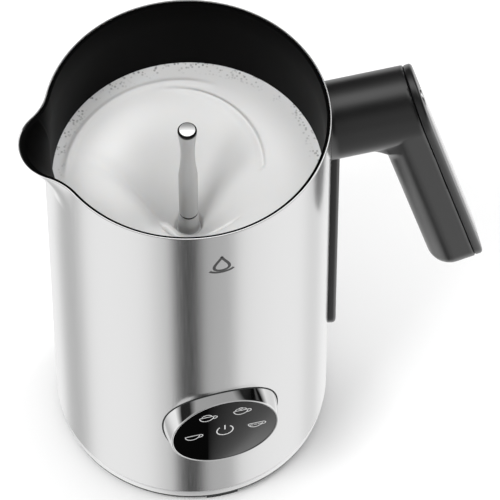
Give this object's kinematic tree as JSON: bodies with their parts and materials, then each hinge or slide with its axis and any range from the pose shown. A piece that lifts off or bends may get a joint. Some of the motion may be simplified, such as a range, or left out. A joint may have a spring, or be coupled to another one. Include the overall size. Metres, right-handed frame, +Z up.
{
  "type": "milk frother",
  "caption": "Heated milk frother: a steel jug with spout, side handle and round touch panel on a cordless power base, with a lift-out magnetic whisk.",
  "frame": {"origin": "on the jug's axis, on the surface that the base stands on", "axes": "+Z up along the jug's axis, +X towards the handle, -X towards the spout, -Y towards the touch panel"},
  "size_m": [0.1845, 0.113, 0.197],
  "materials": {
    "brushed_body": "vertically brushed satin stainless steel",
    "coated_bowl": "black non-stick coating on steel",
    "polished_chrome": "polished",
    "panel_glass": "polished black",
    "black_handle": "satin black moulding",
    "inlay_steel": "brushed strip",
    "structural_steel": "pressed steel",
    "screw_steel": "zinc plated",
    "shaft_steel": "ground",
    "spring_steel": "stainless spring wire",
    "grey_stem": "smooth grey moulding",
    "whisk_black": "black moulding",
    "white_plastic": "low-friction moulding",
    "dark_plastic": "dark moulding",
    "frame_plastic": "heat-proof moulding",
    "black_rubber": "soft rubber",
    "grey_silicone": "silicone",
    "heater_alloy": "cast",
    "bronze": "sintered bronze",
    "contact_brass": "plated",
    "magnet": "nickel plated",
    "copper_winding": "enamelled winding",
    "board_green": "printed circuit board",
    "component_grey": "component cases",
    "wire_red": "insulated wire"
  },
  "bodies": {
    "power_base": {"base_tray": "dark_plastic", "base_ring": "polished_chrome", "base_cover": "dark_plastic", "base_socket": "dark_plastic", "base_contacts": "contact_brass", "base_terminal": "white_plastic", "rubber_feet": "black_rubber", "cord_gland": "black_rubber", "base_screws": "screw_steel"},
    "jug": {"outer_shell": "brushed_body", "inner_vessel": "coated_bowl", "vessel_seal": "grey_silicone", "whisk_pin": "structural_steel", "control_bezel": "polished_chrome", "control_glass": "panel_glass", "glass_gasket": "black_rubber", "control_board": "board_green", "control_housing": "dark_plastic", "handle_body": "black_handle", "handle_rib": "black_handle", "handle_cap": "black_handle", "handle_inlay": "inlay_steel", "handle_bracket": "structural_steel", "handle_screw": "screw_steel", "heater": "heater_alloy", "temperature_sensor": "heater_alloy", "thermal_fuse": "heater_alloy", "motor_mount": "frame_plastic", "motor_can": "structural_steel", "motor_bushes": "bronze", "motor_magnets": "magnet", "motor_screws": "screw_steel", "power_board": "board_green", "board_parts": "component_grey", "wiring": "wire_red", "jug_bottom_cover": "dark_plastic", "jug_connector": "dark_plastic", "jug_contacts": "contact_brass", "cover_screws": "screw_steel"},
    "drive_rotor": {"motor_shaft": "shaft_steel", "motor_armature": "copper_winding", "magnet_carrier": "white_plastic", "drive_magnets": "magnet"},
    "whisk_sleeve": {"whisk_bush": "white_plastic"},
    "whisk": {"whisk_stem": "grey_stem", "whisk_knob": "polished_chrome", "whisk_disc": "whisk_black", "whisk_coil": "spring_steel", "whisk_magnets": "magnet", "magnet_cover": "whisk_black"}
  },
  "joints": [
    {"name": "jug_lift", "type": "slide", "parent": "power_base", "child": "jug", "axis": [0, 0, 1], "range_m": [0, 0.06]},
    {"name": "motor_spin", "type": "hinge", "parent": "jug", "child": "drive_rotor", "pos_m": [0, 0, 0.06], "axis": [0, 0, 1], "continuous": true},
    {"name": "whisk_lift", "type": "slide", "parent": "jug", "child": "whisk_sleeve", "axis": [0, 0, 1], "range_m": [0, 0.115]},
    {"name": "whisk_spin", "type": "hinge", "parent": "whisk_sleeve", "child": "whisk", "pos_m": [0, 0, 0.095], "axis": [0, 0, 1], "continuous": true}
  ],
  "couplings": [
    {"joint": "whisk_spin", "follows": "motor_spin", "ratio": 1}
  ]
}
